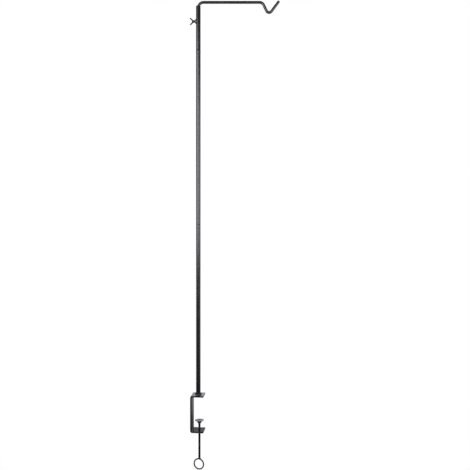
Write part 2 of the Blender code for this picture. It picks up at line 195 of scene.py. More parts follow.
class WingSizes(bpy.types.PropertyGroup):
    """Sizes of the screw with two ears."""

    thread: length("Thread radius", "Outer radius of the screw's thread", 0.00245)
    pitch: length("Pitch", "Distance from thread to thread", 0.0008)
    neck: length("Neck", "Thread that shows between the nut and the hub", 0.0014)
    hub: length("Hub radius", "Radius of the cast hub", 0.0035)
    hub_length: length("Hub length", "Length of the cast hub", 0.0062)
    ear_length: length("Ear length", "From the hub's axis to the middle of an ear's tip", 0.0117)
    ear_width: length("Ear width", "Half the width of an ear, across its lean", 0.0017)
    ear_depth: length("Ear depth", "Half the thickness of an ear", 0.00125)
    ear_lean: angle("Ear lean", "How far an ear leans away from the screw's axis", 44)
    cast_grain: length("Cast grain", "Fineness at which the cast head is modelled", 0.00024)


class RodSizes(bpy.types.PropertyGroup):
    """Sizes of the bent rod, along its centre line."""

    radius: length("Rod radius", "Radius of the round rod", 0.00365)
    bend: length("Arm bend", "Bend radius between the upright and the arm", 0.013)
    arm: length("Arm", "Straight length of the arm", 0.1497)
    fall_bend: length("Fall bend", "Bend radius where the crook starts down", 0.012)
    fall_angle: angle("Fall angle", "How steeply the crook falls", 64.5)
    fall: length("Fall", "Straight length down into the crook", 0.0172)
    valley: length("Valley radius", "Bend radius at the crook's bottom", 0.008)
    rise_angle: angle("Rise angle", "How steeply the crook rises", 53.5)
    rise: length("Rise", "Straight length up to the crook's tip", 0.0333)
    swivel: angle("Swivel", "How far the arm stands round from the clamp's open side", 5)
    tip: length("Tip radius", "Rounding of the crook's cut tip", 0.0009)


class ScrewSizes(bpy.types.PropertyGroup):
    """Sizes of the clamp screw, its pad and its ring."""

    thread: length("Thread radius", "Outer radius of the screw's thread", 0.00295)
    pitch: length("Pitch", "Distance from thread to thread", 0.001)
    neck: length("Neck radius", "Radius of the neck through the pad", 0.0021)
    rivet: length("Rivet radius", "Radius of the riveted head in the pad's recess", 0.0032)
    punch: length("Punch mark", "Radius of the punch's mark in the riveted head", 0.0024)
    punch_depth: length("Punch depth", "Depth of that mark", 0.0009)
    rim: length("Pad rim", "Thickness of the pad's rim", 0.0012)
    recess: length("Recess radius", "Radius of the recess round the riveted head", 0.0038)
    wire: length("Ring wire", "Thickness of the ring's wire", 0.0035)
    bead_lip: length("Bead lip", "How far the ring's bead stands out from the screw", 0.0004)
    ring_turn: angle("Ring turn", "How far the ring is turned about the screw", -15)


class Finishes(bpy.types.PropertyGroup):
    """Colours of the finishes, and how rough each is."""

    paint: colour("Powder coat", "Satin black powder coat", "161618")
    paint_roughness: share("Powder coat roughness", "Roughness of the powder coat", 0.25)
    plating: colour("Plating", "Black passivated zinc plating", "2A2A2D")
    plating_worn: colour("Worn plating", "Plating rubbed thin by use", "7E7E82")
    # The pad's plating is paler than the rest as a painted reflection: it stands in for the bright
    # backdrop that the pad's flat face mirrors.
    pad_plating_painted_reflection: colour("Pad plating", "Plating rubbed pale against table tops", "949498")
    plating_bare: colour("Bare plating", "Zinc that shows where the black has gone", "B0B0B4")
    plating_roughness: share("Plating roughness", "Roughness of the plating", 0.34)
    nylon: colour("Nylon", "Natural nylon", "CFCBC0")


class StudioSettings(bpy.types.PropertyGroup):
    """Where the camera stands and how bright the lights are."""

    distance: length("Distance", "From the camera to the pole", 1.65)
    height: length("Height", "Height of the camera over the table top", 0.4285)
    turn: angle("Turn", "How far the camera stands round from the clamp's front", 5)
    ambient: share("Ambient", "Light that comes from all round", 0.2)
    key_glow: FloatProperty(name="Key glow", description="Brightness of the soft box", default=2.0)
    floor_drop: length("Floor", "How far the floor lies under the table top", 0.75)
    floor_radius: length("Floor radius", "Radius of the round floor", 1.4)
    floor_lift: share("Floor lift", "How much of the floor's white doesn't depend on light", 0.6)


def arc(centre, radius, start, end, steps):
    """Points on an arc about a centre in a plane, both ends included."""
    return [
        (
            centre[0] + radius * math.cos(start + (end - start) * i / steps),
            centre[1] + radius * math.sin(start + (end - start) * i / steps),
        )
        for i in range(steps + 1)
    ]


def quarter_arc(x, z, radius, start):
    """Points of a rounded corner: a quarter turn about its centre."""
    return arc((x, z), radius, start, start + QUARTER, CORNER_STEPS)


def mix(a, b, share_of_b):
    """A value or vector between a and b."""
    return a + (b - a) * share_of_b


def mesh_of(name, shape, crease=CREASE):
    """Mesh data with outward faces, shaded smooth but for its creases."""
    bmesh.ops.remove_doubles(shape, verts=shape.verts, dist=MERGE)
    bmesh.ops.recalc_face_normals(shape, faces=shape.faces)
    data = bpy.data.meshes.new(name)
    shape.to_mesh(data)
    shape.free()
    data.shade_smooth()
    data.set_sharp_from_angle(angle=crease)
    return data


def skinned(name, loops, is_ring=False, crease=CREASE):
    """Skin loops of points with quads; the end loops are filled, or joined when they are a ring."""
    shape = bmesh.new()
    rows = [[shape.verts.new(point) for point in loop] for loop in loops]
    following = rows[1:] + (rows[:1] if is_ring else [])
    for low, high in zip(rows, following):
        for i in range(len(low)):
            shape.faces.new((low[i - 1], low[i], high[i], high[i - 1]))
    if not is_ring:
        shape.faces.new(rows[0])
        shape.faces.new(rows[-1])
    return mesh_of(name, shape, crease)


def around(steps):
    """The angles of a full turn, in even steps."""
    return [math.tau * i / steps for i in range(steps)]


def polar(reach, turn, height):
    """The point at a distance and an angle from Z, at a height."""
    return Vector((reach * math.cos(turn), reach * math.sin(turn), height))


def circle(radius, height, steps):
    """A loop of points round Z."""
    return [polar(radius, turn, height) for turn in around(steps)]


def turned(name, outline, is_ring=False, steps=ROUND_STEPS, crease=CREASE):
    """A shape turned about Z from (radius, height) points."""
    loops = [circle(radius, height, steps) for radius, height in outline]
    return skinned(name, loops, is_ring, crease)


def swept(name, stations):
    """A round bar in the XZ plane along stations of (x, z, heading, radius)."""
    loops = []
    for x, z, heading, radius in stations:
        across = Vector((-math.sin(heading), 0, math.cos(heading)))
        loop = []
        for turn in around(BAR_STEPS):
            side = across * math.cos(turn) + Vector((0, 1, 0)) * math.sin(turn)
            loop.append(Vector((x, 0, z)) + radius * side)
        loops.append(loop)
    return skinned(name, loops)


def threaded(name, radius, pitch, low, high, end_radius, outline=()):
    """A right-hand threaded shank along Z, with chamfered ends and a plain outline on top of it.

    The mesh rows follow the helix, so that crest and root are clean lines.
    """
    depth = THREAD_DEPTH * pitch
    shape = bmesh.new()
    rows = []
    for turn in range(-1, math.ceil((high - low) / pitch) + 1):
        for along_share, depth_share in ROOT_SHARES + CREST_SHARES:
            row = []
            for i in range(BAR_STEPS + 1):
                z = low + pitch * (turn + along_share + i / BAR_STEPS)
                z = min(max(z, low), high)
                reach = min(radius - depth * depth_share, end_radius + min(z - low, high - z))
                row.append(shape.verts.new(polar(reach, math.tau * i / BAR_STEPS, z)))
            rows.append(row)
    for below, above in zip(rows, rows[1:]):
        for i in range(BAR_STEPS):
            shape.faces.new((below[i], below[i + 1], above[i + 1], above[i]))
    last = circle(end_radius, high, BAR_STEPS)
    for reach, z in outline:
        loop = circle(reach, z, BAR_STEPS)
        for i in range(BAR_STEPS):
            corners = (last[i - 1], last[i], loop[i], loop[i - 1])
            shape.faces.new([shape.verts.new(corner) for corner in corners])
        last = loop
    bmesh.ops.remove_doubles(shape, verts=shape.verts, dist=MERGE)
    bmesh.ops.dissolve_degenerate(shape, dist=MERGE, edges=shape.edges)
    open_edges = [edge for edge in shape.edges if edge.is_boundary]
    bmesh.ops.holes_fill(shape, edges=open_edges, sides=0)
    return mesh_of(name, shape)


def link_object(data, location=(0, 0, 0), rotation=(0, 0, 0)):
    """Put mesh, lamp or camera data into the scene as an object of the same name."""
    item = bpy.data.objects.new(data.name, data)
    item.location = location
    item.rotation_euler = rotation
    bpy.context.scene.collection.objects.link(item)
    return item


def settled(item, name, crease=CREASE):
    """The object's mesh with its modifiers and place worked in; it and its tools are removed."""
    spent = [item] + [change.object for change in item.modifiers if change.type == "BOOLEAN"]
    bpy.context.view_layer.update()
    final = item.evaluated_get(bpy.context.evaluated_depsgraph_get())
    data = bpy.data.meshes.new_from_object(final)
    data.transform(item.matrix_world)
    data.name = name
    data.shade_smooth()
    data.set_sharp_from_angle(angle=crease)
    for used in spent:
        bpy.data.objects.remove(used)
    return data


def combined(item, other, operation):
    """Cut another object from this one, or join it on."""
    change = item.modifiers.new(other.name, "BOOLEAN")
    change.operation = operation
    change.solver = "EXACT"
    change.object = other


def blank(owner):
    """Give a new material or world an empty node tree."""
    owner.use_nodes = True
    owner.node_tree.nodes.clear()
    return owner


def add_node(owner, kind, inputs=None, **settings):
    """Add a shader node with its settings; an input is a value, or the output to link to it."""
    tree = owner.node_tree
    made = tree.nodes.new("ShaderNode" + kind)
    for name, value in settings.items():
        setattr(made, name, value)
    for socket, value in (inputs or {}).items():
        if isinstance(value, bpy.types.NodeSocket):
            tree.links.new(value, made.inputs[socket])
        else:
            made.inputs[socket].default_value = value
    return made


def material_by(maker):
    """The material that a maker makes and is named for, made when it is first asked for."""
    name = maker.__name__
    if name not in bpy.data.materials:
        looks = bpy.context.scene.table_hook_finishes
        maker(blank(bpy.data.materials.new(name)), looks)
    return bpy.data.materials[name]


def add_piece(data, node, maker, location=(0, 0, 0), rotation=(0, 0, 0)):
    """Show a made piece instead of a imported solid, on that solid's body and in its finish."""
    data.materials.clear()
    data.materials.append(material_by(maker))
    piece = link_object(data, location, rotation)
    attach(piece, BODY_OF[node])
    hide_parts(node)
    return piece


def build_finish(material, base, values, skin, cloud, specks=None):
    """Build a finish from noise that lies on the piece itself.

    Each pattern is (spacing of its blobs in metres, detail, roughness) and what it does: the skin
    raises the surface, the cloud takes its roughness from one value to another, and the specks,
    where there are any, mix a second colour in.
    """
    place = add_node(material, "TexCoord").outputs["Object"]
    noises = {kind[0]: None for kind in (skin, cloud, specks) if kind}
    for pattern in noises:
        spacing, detail, rough = pattern
        inputs = {"Vector": place, "Scale": 1 / spacing, "Detail": detail, "Roughness": rough}
        noises[pattern] = add_node(material, "TexNoise", inputs).outputs["Fac"]
    bump = add_node(material, "Bump", {"Height": noises[skin[0]], **skin[1]})
    spread = {"From Min": NOISE_LOW, "From Max": NOISE_HIGH, "To Min": cloud[1], "To Max": cloud[2]}
    roughness = add_node(material, "MapRange", {"Value": noises[cloud[0]], **spread})
    colour_input = (*base, 1)
    if specks:
        amount = add_node(material, "MapRange", {"Value": noises[specks[0]], **specks[1]})
        colours = {"Factor": amount.outputs["Result"], "A": colour_input, "B": (*specks[2], 1)}
        colour_input = add_node(material, "Mix", colours, data_type="RGBA").outputs["Result"]
    inputs = {"Base Color": colour_input, "Roughness": roughness.outputs["Result"], **values}
    shader = add_node(material, "BsdfPrincipled", {"Normal": bump.outputs["Normal"], **inputs})
    add_node(material, "OutputMaterial", {"Surface": shader.outputs["BSDF"]})


def satin_black_powder_coat(material, looks):
    """Satin black powder coat over welded steel, sprayed and baked after welding.

    It melts into a skin with the soft pebbling called orange peel, about 1.2 mm apart and a few
    hundredths of a millimetre deep. It hides tool marks and rounds highlights off. Its thickness
    wanders over some 18 mm, and a little dust lies baked in, drawn at 0.35 mm so that it shows.
    """
    roughness, spread, paler = looks.paint_roughness, 0.03, 1.9
    dusty = [value * paler for value in looks.paint]
    dust_range = {"From Min": 0.62, "From Max": 0.80, "To Max": 0.25}
    build_finish(
        material,
        looks.paint,
        {"IOR": 1.55},
        skin=((0.0012, 2, 0.5), {"Strength": 0.35, "Distance": 0.00004}),
        cloud=((0.018, 3, 0.55), roughness - spread, roughness + spread),
        specks=((0.00035, 1, 0.5), dust_range, dusty),
    )


def zinc_plate(material, base, rubbed, roughness):
    """Steel, zinc plated and then passivated black: a thin dark skin over drawn or rolled metal.

    It keeps the metal's fine grain, about 0.25 mm apart, and goes grey in clouds of some 6 mm
    where it has been rubbed.
    """
    clouds = (0.006, 3, 0.6)
    smoother, rougher = 0.05, 0.07
    build_finish(
        material,
        base,
        {"Metallic": 1.0},
        skin=((0.00025, 3, 0.6), {"Strength": 0.25, "Distance": 0.00002}),
        cloud=(clouds, roughness - smoother, roughness + rougher),
        specks=(clouds, {"From Min": 0.5, "From Max": 0.75, "To Max": 0.3}, rubbed),
    )


def black_passivated_zinc_plate(material, looks):
    """The plating as it comes, on the screws and the ring."""
    zinc_plate(material, looks.plating, looks.plating_worn, looks.plating_roughness)


def worn_zinc_plate_with_painted_reflection(material, looks):
    """The same plating on the pad, paler: its base colour is a painted reflection of the bright
    backdrop that the pad's face mirrors, and its specks are bare zinc where it is worn.
    """
    zinc_plate(material, looks.pad_plating_painted_reflection, looks.plating_bare, looks.plating_roughness)


def natural_nylon(material, looks):
    """Moulded nylon in its own colour: milky, slightly see-through and softly glossy.

    The mould leaves it smooth, with soft waves about 3 mm apart.
    """
    waves = (0.003, 2, 0.5)
    build_finish(
        material,
        looks.nylon,
        {"IOR": 1.53, "Subsurface Weight": 0.2, "Subsurface Scale": 0.001},
        skin=(waves, {"Strength": 0.2, "Distance": 0.00003}),
        cloud=(waves, 0.42, 0.52),
    )


class TABLEHOOK_OT_clamp_frame(bpy.types.Operator):
    """Bend the clamp's C from one flat strip, with rounded edges and a countersunk hole"""

    bl_idname = "table_hook.clamp_frame"
    bl_label = "Bent clamp"

    def execute(self, context):
        sizes = context.scene.table_hook_clamp
        low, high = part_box("clamp_frame")
        inner = low.x + sizes.strip
        seat, floor = high.z - sizes.strip, low.z + sizes.strip
        tight, wide = sizes.fold, sizes.fold + sizes.strip
        centres = ((inner + tight, seat - tight), (inner + tight, floor + tight))
        outline = [(high.x, high.z)]
        outline += arc(centres[0], wide, QUARTER, 2 * QUARTER, FOLD_STEPS)
        outline += arc(centres[1], wide, 2 * QUARTER, 3 * QUARTER, FOLD_STEPS)
        outline += [(high.x, low.z), (high.x, floor)]
        outline += arc(centres[1], tight, 3 * QUARTER, 2 * QUARTER, FOLD_STEPS)
        outline += arc(centres[0], tight, 2 * QUARTER, QUARTER, FOLD_STEPS)
        outline += [(high.x, seat)]
        shape = bmesh.new()
        face = shape.faces.new([shape.verts.new((x, low.y, z)) for x, z in outline])
        grown = bmesh.ops.extrude_face_region(shape, geom=[face])
        moved = [item for item in grown["geom"] if isinstance(item, bmesh.types.BMVert)]
        bmesh.ops.translate(shape, verts=moved, vec=(0, high.y - low.y, 0))
        strip = link_object(mesh_of("strip", shape))
        rounded = strip.modifiers.new("rounded_edges", "BEVEL")
        rounded.width = sizes.edge
        rounded.segments = EDGE_STEPS
        rounded.limit_method = "ANGLE"
        rounded.angle_limit = EDGE_ANGLE
        bore, sink = sizes.bore, sizes.countersink
        cutter = [
            (bore + sink + OVERRUN, low.z - OVERRUN),
            (bore, low.z + sink),
            (bore, floor - sink),
            (bore + sink + OVERRUN, floor + OVERRUN),
        ]
        tap = link_object(turned("tap", cutter, steps=TAP_STEPS), (SCREW_X, 0, 0))
        combined(strip, tap, "DIFFERENCE")
        data = settled(strip, "bent_clamp")
        piece = add_piece(data, "clamp_frame", satin_black_powder_coat)
        piece.modifiers.new("flat_faces", "WEIGHTED_NORMAL").keep_sharp = True
        return {"FINISHED"}


def bead_noise(place, size):
    """Smooth unevenness from -1 to 1, with lumps of about the given size."""
    return noise.noise(Vector(place) / size)


class TABLEHOOK_OT_foot_bead(bpy.types.Operator):
    """Lay the rippled weld bead round the pole's foot"""

    bl_idname = "table_hook.foot_bead"
    bl_label = "Weld bead at the foot"

    def execute(self, context):
        sizes = context.scene.table_hook_clamp
        sunk = sizes.bead_ripple
        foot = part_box("clamp_frame")[1].z
        rows, steps = 20, 4 * ROUND_STEPS
        fullness, wander, slant = 1.35, 0.01, 1.2
        uneven_ripple, uneven_reach, uneven_climb = 0.6, 0.12, 0.10
        loops = [circle(TUBE_RADIUS - sunk, foot - sunk, steps)]
        for row in range(rows + 1):
            climb = row / rows
            out = sizes.bead_width * math.cos(QUARTER * climb) ** fullness
            up = sizes.bead_height * math.sin(QUARTER * climb) ** fullness
            fade = 1 - (2 * climb - 1) ** 6
            loop = []
            for i, turn in enumerate(around(steps)):
                outward = Vector((math.cos(turn), math.sin(turn), 0))
                lump = bead_noise(outward * TUBE_RADIUS + Vector((0, 0, up)), sizes.bead_width)
                wave = sizes.bead_ripples * (i / steps + wander * lump)
                wave += slant * climb * (1 - climb)
                ripple = sizes.bead_ripple * (abs(math.sin(math.pi * wave)) - 1)
                ripple *= fade * (1 + uneven_ripple * lump)
                reach = TUBE_RADIUS + (out + ripple) * (1 + uneven_reach * lump * (1 - climb))
                height = foot + (up + ripple) * (1 + uneven_climb * lump) - sunk * (1 - climb)
                loop.append((reach * outward.x, reach * outward.y, height))
            loops.append(loop)
        loops.append(circle(TUBE_RADIUS - sunk, foot + sizes.bead_height, steps))
        data = skinned("foot_bead", loops, is_ring=True, crease=BEAD_CREASE)
        add_piece(data, "base_weld", satin_black_powder_coat)
        return {"FINISHED"}


class TABLEHOOK_OT_pole(bpy.types.Operator):
    """Cut the tube, deburr its ends and drill the hole behind the nut"""

    bl_idname = "table_hook.pole"
    bl_label = "Pole tube"

    def execute(self, context):
        sizes = context.scene.table_hook_pole
        inner = TUBE_RADIUS - sizes.wall
        rim, foot, top = sizes.rim, TUBE_LOW.z, TUBE_HIGH.z
        corners = (
            (inner + rim, foot + rim, 2 * QUARTER),
            (TUBE_RADIUS - rim, foot + rim, 3 * QUARTER),
            (TUBE_RADIUS - rim, top - rim, 0),
            (inner + rim, top - rim, QUARTER),
        )
        outline = []
        for x, z, start in corners:
            if start == 0:
                outline += self.lines(sizes)
            outline += quarter_arc(x, z, rim, start)
        tube = link_object(turned("tube", outline, is_ring=True))
        bit = turned("drill", [(sizes.hole, 0), (sizes.hole, 2 * TUBE_RADIUS)], steps=SMALL_STEPS)
        drill = link_object(bit, (0, 0, WING_Z), (0, -QUARTER, 0))
        combined(tube, drill, "DIFFERENCE")
        data = settled(tube, "round_pole")
        add_piece(data, "pole_tube", satin_black_powder_coat)
        return {"FINISHED"}

    def lines(self, sizes):
        """Outline points of the fine lines round the tube, with a crown between the upper two."""
        half, depth = sizes.line_width / 2, sizes.line_depth
        points = []
        for height in (sizes.low_line, sizes.high_line, sizes.high_line + sizes.line_gap):
            points += [(TUBE_RADIUS, height - half), (TUBE_RADIUS - depth, height)]
            points += [(TUBE_RADIUS, height + half)]
            if height == sizes.high_line:
                for i in range(1, CORNER_STEPS):
                    up = (sizes.line_gap - 2 * half) * i / CORNER_STEPS
                    swell = sizes.crown * math.sin(2 * QUARTER * i / CORNER_STEPS)
                    points.append((TUBE_RADIUS + swell, height + half + up))
        return points


def hex_reach(flat, turn):
    """How far a hexagon's outline lies from its centre at an angle; a corner is at angle 0."""
    return flat / math.cos(turn % HEX_ANGLE - HEX_ANGLE / 2)


def on_wing_axis(data):
    """Turn mesh data made along Z onto the wing screw's axis, pointing out of the tube."""
    for spot in data.vertices:
        x, y, z = spot.co
        spot.co = (-z, y, x + WING_Z)
    data.update()
    return data


class TABLEHOOK_OT_nut(bpy.types.Operator):
    """Make the chamfered hexagon nut and the bead that holds it on the tube"""

    bl_idname = "table_hook.nut"
    bl_label = "Welded nut"

    def execute(self, context):
        self.make_nut(context.scene.table_hook_pole)
        self.make_bead(context.scene.table_hook_pole)
        return {"FINISHED"}

    def make_nut(self, sizes):
        """Turn the top of a hexagon off at 30 degrees and bore it, with a lead-in for the screw."""
        foot = -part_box("tube_nut")[1].x
        top = foot + sizes.nut_height
        bore, lead = sizes.hole, 0.0004
        round_top, slope = 0.97 * sizes.nut_flat, math.tan(math.radians(30))
        steps = 4 * HEX_SIDES * CORNER_STEPS
        corners = [(hex_reach(sizes.nut_flat, turn), turn) for turn in around(steps)]
        loops = [
            circle(bore, foot, steps),
            [polar(reach, turn, foot) for reach, turn in corners],
            [polar(reach, turn, top - (reach - round_top) * slope) for reach, turn in corners],
            circle(round_top, top, steps),
            circle(bore + lead, top, steps),
            circle(bore, top - lead, steps),
        ]
        data = on_wing_axis(skinned("welded_nut", loops, is_ring=True, crease=NUT_CREASE))
        add_piece(data, "tube_nut", satin_black_powder_coat)

    def make_bead(self, sizes):
        """Lay the bead from the tube's skin up to the nut, rippled and a little uneven."""
        foot = -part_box("tube_nut")[1].x
        sunk = 0.00025
        steps, rows = 2 * ROUND_STEPS, 12
        ripples, slant, ripple_middle = 22, 0.9, 0.7
        lump_circle, lump_seed, lump_size = 2, 5, 0.9
        uneven_reach, uneven_wrap, uneven_rise = 0.05, 0.04, 0.12
        ripple_share, lump_share, lean = 0.2, 0.3, 0.7
        loops = [[] for _ in range(rows + 3)]
        for i, turn in enumerate(around(steps)):
            up, side = math.cos(turn), math.sin(turn)
            nut = hex_reach(sizes.nut_flat, turn)
            lump = bead_noise((lump_circle * up, lump_circle * side, lump_seed), lump_size)
            toe_z = sizes.bead_reach * up * (1 + uneven_reach * lump)
            toe_y = sizes.bead_wrap * side * (1 + uneven_wrap * lump)
            toe = Vector((toe_z, toe_y, self.on_tube(toe_y)))
            rise = foot + sizes.bead_rise * (1 + uneven_rise * lump)
            crest = Vector((nut * up, nut * side, rise))
            outward = Vector((lean * up, lean * side, lean))
            for row in range(rows + 1):
                climb = row / rows
                wave = abs(math.sin(math.pi * (ripples * i / steps + slant * climb)))
                swell = sizes.bead_swell * 4 * climb * (1 - climb)
                swell *= 1 + ripple_share * (wave - ripple_middle) + lump_share * lump
                loops[row].append(mix(toe, crest, climb) + outward * swell)
            inner = (nut - sunk) / nut
            loops[rows + 1].append(Vector((crest.x * inner, crest.y * inner, crest.z)))
            root = Vector((crest.x * inner, crest.y * inner, self.on_tube(crest.y * inner) - sunk))
            loops[rows + 2].append(root)
            loops[0][-1] = loops[0][-1] - Vector((0, 0, sunk))
        data = on_wing_axis(skinned("nut_bead", loops, is_ring=True, crease=BEAD_CREASE))
        add_piece(data, "nut_weld", satin_black_powder_coat)

    def on_tube(self, across):
        """Height of the tube's surface over its axis, at a distance to the side."""
        return math.sqrt(max(TUBE_RADIUS**2 - across**2, 0))


class TABLEHOOK_OT_wing_screw(bpy.types.Operator):
    """Cast the winged head with soft corners and put the thread on its shank"""

    bl_idname = "table_hook.wing_screw"
    bl_label = "Wing screw"

    def execute(self, context):
        sizes = context.scene.table_hook_wing
        tip = -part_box("wing_screw")[1].x
        hub_low = -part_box("tube_nut")[0].x + sizes.neck
        hub_top = hub_low + sizes.hub_length
        foot, crown = 0.86 * sizes.hub, 0.92 * sizes.hub
        soft = sizes.ear_depth
        outline = [(foot, hub_low), (sizes.hub, hub_low + soft / 2)]
        outline += quarter_arc(crown - soft, hub_top - soft, soft, 0)
        head = link_object(turned("hub", outline, steps=SMALL_STEPS))
        root = hub_low + sizes.ear_width
        for side in (1, -1):
            combined(head, link_object(self.ear(sizes, root, side)), "UNION")
        grown = head.modifiers.new("cast_skin", "REMESH")
        grown.mode = "VOXEL"
        grown.voxel_size = sizes.cast_grain
        softened = head.modifiers.new("soft_corners", "SMOOTH")
        softened.factor = 0.5
        softened.iterations = 4
        solid_head = link_object(settled(head, "solid_head"))
        top = hub_low + sizes.hub / 2
        end = sizes.thread - sizes.pitch * END_DEPTH
        shank = threaded("shank", sizes.thread, sizes.pitch, tip, top, end)
        combined(solid_head, link_object(shank), "UNION")
        data = on_wing_axis(settled(solid_head, "winged_screw", CAST_CREASE))
        add_piece(data, "wing_screw", black_passivated_zinc_plate)
        return {"FINISHED"}

    def ear(self, sizes, root, side):
        """An ear: oval sections along its lean, fuller at the root and round at the tip."""
        steps, rows, tip_rows = 32, 10, 10
        widths, depths, squareness = (0.95, 1.05), (1.15, 0.85), 0.7
        lean = Vector((side * math.sin(sizes.ear_lean), 0, math.cos(sizes.ear_lean)))
        across = Vector((math.cos(sizes.ear_lean), 0, -side * math.sin(sizes.ear_lean)))
        sections = [(sizes.ear_length * row / rows, 1) for row in range(rows + 1)]
        for row in range(1, tip_rows + 1):
            # The last section keeps a little width, so that it can be filled
            past = QUARTER * row / (tip_rows + 0.5)
            tip = sizes.ear_length + sizes.ear_width * math.sin(past)
            sections.append((tip, math.cos(past)))
        loops = []
        for along, size_share in sections:
            along_share = along / sizes.ear_length
            width = mix(*widths, along_share) * sizes.ear_width * size_share
            depth = mix(*depths, along_share) * sizes.ear_depth * size_share
            middle = Vector((0, 0, root)) + lean * along
            loop = []
            for turn in around(steps):
                sideways, thickways = (
                    math.copysign(abs(way) ** squareness, way)
                    for way in (math.cos(turn), math.sin(turn))
                )
                loop.append(middle + across * width * sideways + Vector((0, depth * thickways, 0)))
            loops.append(loop)
        return skinned("ear", loops)


class TABLEHOOK_OT_hook_rod(bpy.types.Operator):
    """Bend the rod: upright, level arm and V-shaped crook, with a rounded tip"""

    bl_idname = "table_hook.hook_rod"
    bl_label = "Hook rod"

    def execute(self, context):
        sizes = context.scene.table_hook_rod
        data = swept("bent_rod", self.stations(sizes))
        place, turn = (ROD_X, 0, TUBE_HIGH.z), (0, 0, sizes.swivel)
        add_piece(data, "hook_rod", satin_black_powder_coat, place, turn)
        return {"FINISHED"}

    def stations(self, sizes):
        """Centre line, heading and radius from the riveted foot up to the crook's tip."""
        radius = sizes.radius
        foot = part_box("hook_rod")[0].z - TUBE_HIGH.z
        bush_low, bush_high = (corner.z - TUBE_HIGH.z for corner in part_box("rod_end_bush"))
        soft, lip, rivet_height = 0.0006, 0.001, 0.0020
        neck = radius - NECK_STEP
        rivet = neck + lip
        gap = bush_low - foot - rivet_height
        line = []
        for x, z in quarter_arc(rivet - soft, foot + soft, soft, -QUARTER):
            line.append((0, z, QUARTER, x))
        low, high = bush_low - gap, bush_high + gap
        line += [(0, low, QUARTER, rivet), (0, low, QUARTER, neck), (0, high, QUARTER, neck)]
        line += [(0, high, QUARTER, radius - soft), (0, high + soft, QUARTER, radius)]
        x, z, heading = 0, self.arm_height(sizes) - sizes.bend, QUARTER
        line.append((x, z, heading, radius))
        bends = (
            (sizes.bend, QUARTER, -1, sizes.arm),
            (sizes.fall_bend, sizes.fall_angle, -1, sizes.fall),
            (sizes.valley, sizes.fall_angle + sizes.rise_angle, 1, sizes.rise - sizes.tip),
        )
        for bend, turn, hand, straight in bends:
            centre = (x - hand * bend * math.sin(heading), z + hand * bend * math.cos(heading))
            steps = round(turn / BEND_STEP)
            start = heading - hand * QUARTER
            points = arc(centre, bend, start, start + hand * turn, steps)
            for i, (px, pz) in enumerate(points[1:], 1):
                line.append((px, pz, heading + hand * turn * i / steps, radius))
            heading += hand * turn
            x = points[-1][0] + straight * math.cos(heading)
            z = points[-1][1] + straight * math.sin(heading)
            line.append((x, z, heading, radius))
        for back, out in quarter_arc(radius - sizes.tip, 0, sizes.tip, 0)[1:]:
            line.append((x + out * math.cos(heading), z + out * math.sin(heading), heading, back))
        return line

    def arm_height(self, sizes):
        """The arm's height over the rim, where its bend rests on the edge of the tube's bore."""
        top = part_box("hook_rod")[1].z
        pole = bpy.context.scene.table_hook_pole
        reach = sizes.bend - sizes.radius - GAP
        across = sizes.bend + ROD_X - (TUBE_RADIUS - pole.wall)
        return min(sizes.bend - math.sqrt(reach**2 - across**2), top - TUBE_HIGH.z)


class TABLEHOOK_OT_bush(bpy.types.Operator):
    """Mould the nylon bush on the rod's foot"""

    bl_idname = "table_hook.bush"
    bl_label = "Nylon bush"

    def execute(self, context):
        low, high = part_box("rod_end_bush")
        wide = high.x - ROD_X
        bore = context.scene.table_hook_rod.radius - NECK_STEP + GAP
        soft, groove = 0.0005, 0.0003
        middle = (low.z + high.z) / 2
        outline = [(bore, low.z)]
        outline += quarter_arc(wide - soft, low.z + soft, soft, -QUARTER)
        outline += [(wide, middle - 2 * soft), (wide - groove, middle - soft)]
        outline += [(wide - groove, middle + soft), (wide, middle + 2 * soft)]
        outline += quarter_arc(wide - soft, high.z - soft, soft, 0)
        outline += [(bore, high.z)]
        data = turned("nylon_bush", outline, is_ring=True)
        add_piece(data, "rod_end_bush", natural_nylon, (ROD_X, 0, 0))
        return {"FINISHED"}


class TABLEHOOK_OT_clamp_screw(bpy.types.Operator):
    """Roll the clamp screw's thread and rivet its head over in the pad"""

    bl_idname = "table_hook.clamp_screw"
    bl_label = "Clamp screw"

    def execute(self, context):
        sizes = context.scene.table_hook_screw
        low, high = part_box("clamp_screw")
        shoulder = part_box("pressure_pad")[0].z - GAP
        head, dome, lip = 0.0010, 0.0007, 0.0001
        seat = high.z - head
        root = sizes.thread - THREAD_DEPTH * sizes.pitch
        outline = [(sizes.neck, shoulder), (sizes.neck, seat), (sizes.rivet - lip, seat)]
        outline += quarter_arc(sizes.rivet - dome, high.z - dome, dome, 0)
        outline += [(sizes.punch, high.z), (sizes.punch / 2, high.z - sizes.punch_depth)]
        data = threaded("threaded_shank", sizes.thread, sizes.pitch, low.z, shoulder, root, outline)
        place = (SCREW_X, 0, 0)
        add_piece(data, "clamp_screw", black_passivated_zinc_plate, place)
        return {"FINISHED"}


